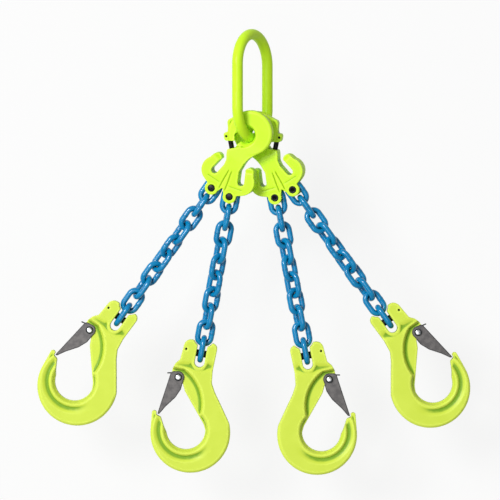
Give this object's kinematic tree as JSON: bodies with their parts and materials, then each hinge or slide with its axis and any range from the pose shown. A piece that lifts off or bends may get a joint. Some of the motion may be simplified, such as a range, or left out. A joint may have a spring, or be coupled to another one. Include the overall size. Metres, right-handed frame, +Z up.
{
  "type": "four leg chain sling",
  "caption": "Chain sling with an oblong master link, two shortening heads with grab slots, chain legs and latched clevis hooks, laid out flat.",
  "frame": {"origin": "middle of the sling's box on the floor it lies on", "axes": "+Z up off the floor, +Y from the hooks to the master link, +X to the right seen from above"},
  "size_m": [0.6072, 0.6238, 0.0902],
  "materials": {
    "lime_paint": "semi-gloss powder coat",
    "hook_paint": "semi-gloss powder coat",
    "blue_chain": "semi-gloss paint over forged links",
    "black_steel": "blackened",
    "latch_steel": "satin grey"
  },
  "bodies": {
    "master_link": {"master_link": "lime_paint"},
    "head_front": {"head_front": "lime_paint", "eye_bolt_front": "black_steel", "leg_pins_front": "black_steel"},
    "head_back": {"head_back": "lime_paint", "eye_bolt_back": "black_steel", "leg_pins_back": "black_steel"},
    "leg_1_link_01": {"leg_1_link_01": "blue_chain"},
    "leg_1_link_02": {"leg_1_link_02": "blue_chain"},
    "leg_1_link_03": {"leg_1_link_03": "blue_chain"},
    "leg_1_link_04": {"leg_1_link_04": "blue_chain"},
    "leg_1_link_05": {"leg_1_link_05": "blue_chain"},
    "leg_1_link_06": {"leg_1_link_06": "blue_chain"},
    "leg_1_link_07": {"leg_1_link_07": "blue_chain"},
    "leg_1_link_08": {"leg_1_link_08": "blue_chain"},
    "leg_1_link_09": {"leg_1_link_09": "blue_chain"},
    "leg_1_link_10": {"leg_1_link_10": "blue_chain"},
    "hook_1": {"hook_1": "hook_paint", "hook_pins_1": "black_steel"},
    "latch_1": {"latch_1": "latch_steel"},
    "leg_2_link_01": {"leg_2_link_01": "blue_chain"},
    "leg_2_link_02": {"leg_2_link_02": "blue_chain"},
    "leg_2_link_03": {"leg_2_link_03": "blue_chain"},
    "leg_2_link_04": {"leg_2_link_04": "blue_chain"},
    "leg_2_link_05": {"leg_2_link_05": "blue_chain"},
    "leg_2_link_06": {"leg_2_link_06": "blue_chain"},
    "leg_2_link_07": {"leg_2_link_07": "blue_chain"},
    "leg_2_link_08": {"leg_2_link_08": "blue_chain"},
    "leg_2_link_09": {"leg_2_link_09": "blue_chain"},
    "leg_2_link_10": {"leg_2_link_10": "blue_chain"},
    "hook_2": {"hook_2": "hook_paint", "hook_pins_2": "black_steel"},
    "latch_2": {"latch_2": "latch_steel"},
    "leg_3_link_01": {"leg_3_link_01": "blue_chain"},
    "leg_3_link_02": {"leg_3_link_02": "blue_chain"},
    "leg_3_link_03": {"leg_3_link_03": "blue_chain"},
    "leg_3_link_04": {"leg_3_link_04": "blue_chain"},
    "leg_3_link_05": {"leg_3_link_05": "blue_chain"},
    "leg_3_link_06": {"leg_3_link_06": "blue_chain"},
    "leg_3_link_07": {"leg_3_link_07": "blue_chain"},
    "leg_3_link_08": {"leg_3_link_08": "blue_chain"},
    "leg_3_link_09": {"leg_3_link_09": "blue_chain"},
    "leg_3_link_10": {"leg_3_link_10": "blue_chain"},
    "hook_3": {"hook_3": "hook_paint", "hook_pins_3": "black_steel"},
    "latch_3": {"latch_3": "latch_steel"},
    "leg_4_link_01": {"leg_4_link_01": "blue_chain"},
    "leg_4_link_02": {"leg_4_link_02": "blue_chain"},
    "leg_4_link_03": {"leg_4_link_03": "blue_chain"},
    "leg_4_link_04": {"leg_4_link_04": "blue_chain"},
    "leg_4_link_05": {"leg_4_link_05": "blue_chain"},
    "leg_4_link_06": {"leg_4_link_06": "blue_chain"},
    "leg_4_link_07": {"leg_4_link_07": "blue_chain"},
    "leg_4_link_08": {"leg_4_link_08": "blue_chain"},
    "leg_4_link_09": {"leg_4_link_09": "blue_chain"},
    "leg_4_link_10": {"leg_4_link_10": "blue_chain"},
    "hook_4": {"hook_4": "hook_paint", "hook_pins_4": "black_steel"},
    "latch_4": {"latch_4": "latch_steel"}
  },
  "joints": [
    {"name": "head_front_swing", "type": "hinge", "parent": "master_link", "child": "head_front", "pos_m": [-0.0101, 0.16301, 0.06011], "axis": [-0.1908, -0.1111, 0.9753], "range_deg": [-7, 2]},
    {"name": "head_back_swing", "type": "hinge", "parent": "master_link", "child": "head_back", "pos_m": [0.00653, 0.16301, 0.03011], "axis": [-0.1908, -0.1111, 0.9753], "range_deg": [-2, 25]},
    {"name": "leg_1_link_01_swing", "type": "hinge", "parent": "head_front", "child": "leg_1_link_01", "pos_m": [-0.05698, 0.09113, 0.04121], "axis": [-0.1908, -0.1111, 0.9753], "range_deg": [-40, 6]},
    {"name": "leg_1_link_02_swing", "type": "hinge", "parent": "leg_1_link_01", "child": "leg_1_link_02", "pos_m": [-0.07003, 0.07277, 0.03845], "axis": [0.8053, -0.5859, 0.0908], "range_deg": [-20, 20]},
    {"name": "leg_1_link_03_swing", "type": "hinge", "parent": "leg_1_link_02", "child": "leg_1_link_03", "pos_m": [-0.08366, 0.05359, 0.03556], "axis": [0.0338, -0.1721, 0.9845], "range_deg": [-20, 7]},
    {"name": "leg_1_link_04_swing", "type": "hinge", "parent": "leg_1_link_03", "child": "leg_1_link_04", "pos_m": [-0.09728, 0.03442, 0.03268], "axis": [-0.7905, 0.511, 0.3375], "range_deg": [-20, 20]},
    {"name": "leg_1_link_05_swing", "type": "hinge", "parent": "leg_1_link_04", "child": "leg_1_link_05", "pos_m": [-0.11091, 0.01524, 0.02979], "axis": [-0.3777, 0.3944, -0.8377], "range_deg": [-20, 20]},
    {"name": "leg_1_link_06_swing", "type": "hinge", "parent": "leg_1_link_05", "child": "leg_1_link_06", "pos_m": [-0.12454, -0.00393, 0.02691], "axis": [-0.6262, 0.3395, 0.7018], "range_deg": [-40, 40]},
    {"name": "leg_1_link_07_swing", "type": "hinge", "parent": "leg_1_link_06", "child": "leg_1_link_07", "pos_m": [-0.13817, -0.02311, 0.02403], "axis": [0.5265, -0.4798, 0.7019], "range_deg": [-35, 35]},
    {"name": "leg_1_link_08_swing", "type": "hinge", "parent": "leg_1_link_07", "child": "leg_1_link_08", "pos_m": [-0.15179, -0.04228, 0.02114], "axis": [0.7169, -0.4265, -0.5514], "range_deg": [-35, 35]},
    {"name": "leg_1_link_09_swing", "type": "hinge", "parent": "leg_1_link_08", "child": "leg_1_link_09", "pos_m": [-0.16542, -0.06146, 0.01826], "axis": [-0.2468, 0.3133, -0.917], "range_deg": [-15, 35]},
    {"name": "leg_1_link_10_swing", "type": "hinge", "parent": "leg_1_link_09", "child": "leg_1_link_10", "pos_m": [-0.17905, -0.08063, 0.01537], "axis": [0.8132, -0.5488, -0.1936], "range_deg": [-25, 30]},
    {"name": "hook_1_swing", "type": "hinge", "parent": "leg_1_link_10", "child": "hook_1", "pos_m": [-0.18733, -0.09228, 0.01362], "axis": [0.8151, -0.5793, 0], "range_deg": [-9, 20]},
    {"name": "latch_1_open", "type": "hinge", "parent": "hook_1", "child": "latch_1", "pos_m": [-0.2305, -0.10883, 0.01362], "axis": [0, 0, 1], "range_deg": [0, 45], "stiffness_Nm_per_rad": 0.02, "springref_deg": -20},
    {"name": "leg_2_link_01_swing", "type": "hinge", "parent": "head_front", "child": "leg_2_link_01", "pos_m": [-0.03207, 0.07883, 0.04468], "axis": [-0.1908, -0.1111, 0.9753], "range_deg": [-6, 7]},
    {"name": "leg_2_link_02_swing", "type": "hinge", "parent": "leg_2_link_01", "child": "leg_2_link_02", "pos_m": [-0.03624, 0.05674, 0.04157], "axis": [0.9646, -0.2055, 0.1653], "range_deg": [-20, 20]},
    {"name": "leg_2_link_03_swing", "type": "hinge", "parent": "leg_2_link_02", "child": "leg_2_link_03", "pos_m": [-0.0406, 0.03367, 0.03832], "axis": [0.0439, -0.1474, 0.9881], "range_deg": [-7, 9]},
    {"name": "leg_2_link_04_swing", "type": "hinge", "parent": "leg_2_link_03", "child": "leg_2_link_04", "pos_m": [-0.04496, 0.0106, 0.03508], "axis": [-0.9438, 0.136, 0.3011], "range_deg": [-20, 20]},
    {"name": "leg_2_link_05_swing", "type": "hinge", "parent": "leg_2_link_04", "child": "leg_2_link_05", "pos_m": [-0.04932, -0.01247, 0.03183], "axis": [-0.4895, 0.2116, -0.846], "range_deg": [-20, 20]},
    {"name": "leg_2_link_06_swing", "type": "hinge", "parent": "leg_2_link_05", "child": "leg_2_link_06", "pos_m": [-0.05368, -0.03554, 0.02858], "axis": [-0.7128, 0.0361, 0.7004], "range_deg": [-40, 40]},
    {"name": "leg_2_link_07_swing", "type": "hinge", "parent": "leg_2_link_06", "child": "leg_2_link_07", "pos_m": [-0.05804, -0.05861, 0.02533], "axis": [0.6768, -0.2265, 0.7004], "range_deg": [-35, 35]},
    {"name": "leg_2_link_08_swing", "type": "hinge", "parent": "leg_2_link_07", "child": "leg_2_link_08", "pos_m": [-0.0624, -0.08167, 0.02209], "axis": [0.8311, -0.0796, -0.5503], "range_deg": [-35, 35]},
    {"name": "leg_2_link_09_swing", "type": "hinge", "parent": "leg_2_link_08", "child": "leg_2_link_09", "pos_m": [-0.06676, -0.10474, 0.01884], "axis": [-0.3525, 0.1954, -0.9152], "range_deg": [-20, 35]},
    {"name": "leg_2_link_10_swing", "type": "hinge", "parent": "leg_2_link_09", "child": "leg_2_link_10", "pos_m": [-0.07111, -0.12781, 0.01559], "axis": [0.9687, -0.1558, -0.1933], "range_deg": [-25, 30]},
    {"name": "hook_2_swing", "type": "hinge", "parent": "leg_2_link_10", "child": "hook_2", "pos_m": [-0.07376, -0.14183, 0.01362], "axis": [0.9826, -0.1857, 0], "range_deg": [-9, 20]},
    {"name": "latch_2_open", "type": "hinge", "parent": "hook_2", "child": "latch_2", "pos_m": [-0.10607, -0.17491, 0.01362], "axis": [0, 0, 1], "range_deg": [0, 45], "stiffness_Nm_per_rad": 0.02, "springref_deg": -20},
    {"name": "leg_3_link_01_swing", "type": "hinge", "parent": "head_back", "child": "leg_3_link_01", "pos_m": [0.0315, 0.07761, 0.02542], "axis": [-0.1908, -0.1111, 0.9753], "range_deg": [-7, 7]},
    {"name": "leg_3_link_02_swing", "type": "hinge", "parent": "leg_3_link_01", "child": "leg_3_link_02", "pos_m": [0.03571, 0.05533, 0.02423], "axis": [0.9631, 0.171, 0.2079], "range_deg": [-15, 15]},
    {"name": "leg_3_link_03_swing", "type": "hinge", "parent": "leg_3_link_02", "child": "leg_3_link_03", "pos_m": [0.04011, 0.03208, 0.023], "axis": [0.048, -0.0438, 0.9979], "range_deg": [-9, 7]},
    {"name": "leg_3_link_04_swing", "type": "hinge", "parent": "leg_3_link_03", "child": "leg_3_link_04", "pos_m": [0.0445, 0.00882, 0.02177], "axis": [-0.9394, -0.1925, 0.2835], "range_deg": [-15, 15]},
    {"name": "leg_3_link_05_swing", "type": "hinge", "parent": "leg_3_link_04", "child": "leg_3_link_05", "pos_m": [0.0489, -0.01444, 0.02054], "axis": [-0.5106, -0.051, -0.8583], "range_deg": [-15, 15]},
    {"name": "leg_3_link_06_swing", "type": "hinge", "parent": "leg_3_link_05", "child": "leg_3_link_06", "pos_m": [0.05329, -0.03769, 0.0193], "axis": [-0.688, -0.1674, 0.7061], "range_deg": [-40, 40]},
    {"name": "leg_3_link_07_swing", "type": "hinge", "parent": "leg_3_link_06", "child": "leg_3_link_07", "pos_m": [0.05769, -0.06095, 0.01807], "axis": [0.7016, 0.0951, 0.7061], "range_deg": [-35, 35]},
    {"name": "leg_3_link_08_swing", "type": "hinge", "parent": "leg_3_link_07", "child": "leg_3_link_08", "pos_m": [0.06208, -0.08421, 0.01684], "axis": [0.8116, 0.1828, -0.5548], "range_deg": [-35, 35]},
    {"name": "leg_3_link_09_swing", "type": "hinge", "parent": "leg_3_link_08", "child": "leg_3_link_09", "pos_m": [0.06647, -0.10746, 0.0156], "axis": [-0.385, -0.0238, -0.9226], "range_deg": [-15, 35]},
    {"name": "leg_3_link_10_swing", "type": "hinge", "parent": "leg_3_link_09", "child": "leg_3_link_10", "pos_m": [0.07087, -0.13072, 0.01437], "axis": [0.9618, 0.1921, -0.1948], "range_deg": [-30, 30]},
    {"name": "hook_3_swing", "type": "hinge", "parent": "leg_3_link_10", "child": "hook_3", "pos_m": [0.07354, -0.14485, 0.01362], "axis": [0.9826, 0.1857, 0], "range_deg": [-11, 15]},
    {"name": "latch_3_open", "type": "hinge", "parent": "hook_3", "child": "latch_3", "pos_m": [0.10584, -0.17793, 0.01362], "axis": [0, 0, -1], "range_deg": [0, 45], "stiffness_Nm_per_rad": 0.02, "springref_deg": -20},
    {"name": "leg_4_link_01_swing", "type": "hinge", "parent": "head_back", "child": "leg_4_link_01", "pos_m": [0.05641, 0.08882, 0.03157], "axis": [-0.1908, -0.1111, 0.9753], "range_deg": [-6, 34]},
    {"name": "leg_4_link_02_swing", "type": "hinge", "parent": "leg_4_link_01", "child": "leg_4_link_02", "pos_m": [0.06952, 0.07037, 0.02977], "axis": [0.8051, 0.5507, 0.2203], "range_deg": [-15, 12]},
    {"name": "leg_4_link_03_swing", "type": "hinge", "parent": "leg_4_link_02", "child": "leg_4_link_03", "pos_m": [0.08321, 0.05111, 0.02789], "axis": [0.0697, -0.0476, 0.9964], "range_deg": [-7, 12]},
    {"name": "leg_4_link_04_swing", "type": "hinge", "parent": "leg_4_link_03", "child": "leg_4_link_04", "pos_m": [0.09689, 0.03186, 0.02602], "axis": [-0.7704, -0.5744, 0.2767], "range_deg": [-15, 12]},
    {"name": "leg_4_link_05_swing", "type": "hinge", "parent": "leg_4_link_04", "child": "leg_4_link_05", "pos_m": [0.11058, 0.0126, 0.02414], "axis": [-0.4539, -0.239, -0.8584], "range_deg": [-15, 12]},
    {"name": "leg_4_link_06_swing", "type": "hinge", "parent": "leg_4_link_05", "child": "leg_4_link_06", "pos_m": [0.12427, -0.00666, 0.02227], "axis": [-0.544, -0.4552, 0.7049], "range_deg": [-40, 34]},
    {"name": "leg_4_link_07_swing", "type": "hinge", "parent": "leg_4_link_06", "child": "leg_4_link_07", "pos_m": [0.13795, -0.02592, 0.02039], "axis": [0.6088, 0.364, 0.7049], "range_deg": [-35, 29]},
    {"name": "leg_4_link_08_swing", "type": "hinge", "parent": "leg_4_link_07", "child": "leg_4_link_08", "pos_m": [0.15164, -0.04518, 0.01851], "axis": [0.6523, 0.5175, -0.5538], "range_deg": [-35, 29]},
    {"name": "leg_4_link_09_swing", "type": "hinge", "parent": "leg_4_link_08", "child": "leg_4_link_09", "pos_m": [0.16532, -0.06443, 0.01664], "axis": [-0.3543, -0.1621, -0.921], "range_deg": [-35, 29]},
    {"name": "leg_4_link_10_swing", "type": "hinge", "parent": "leg_4_link_09", "child": "leg_4_link_10", "pos_m": [0.17901, -0.08369, 0.01476], "axis": [0.7905, 0.5807, -0.1945], "range_deg": [-30, 29]},
    {"name": "hook_4_swing", "type": "hinge", "parent": "leg_4_link_10", "child": "hook_4", "pos_m": [0.18733, -0.09539, 0.01362], "axis": [0.8151, 0.5793, 0], "range_deg": [-11, 17]},
    {"name": "latch_4_open", "type": "hinge", "parent": "hook_4", "child": "latch_4", "pos_m": [0.2305, -0.11195, 0.01362], "axis": [0, 0, -1], "range_deg": [0, 45], "stiffness_Nm_per_rad": 0.02, "springref_deg": -20}
  ]
}
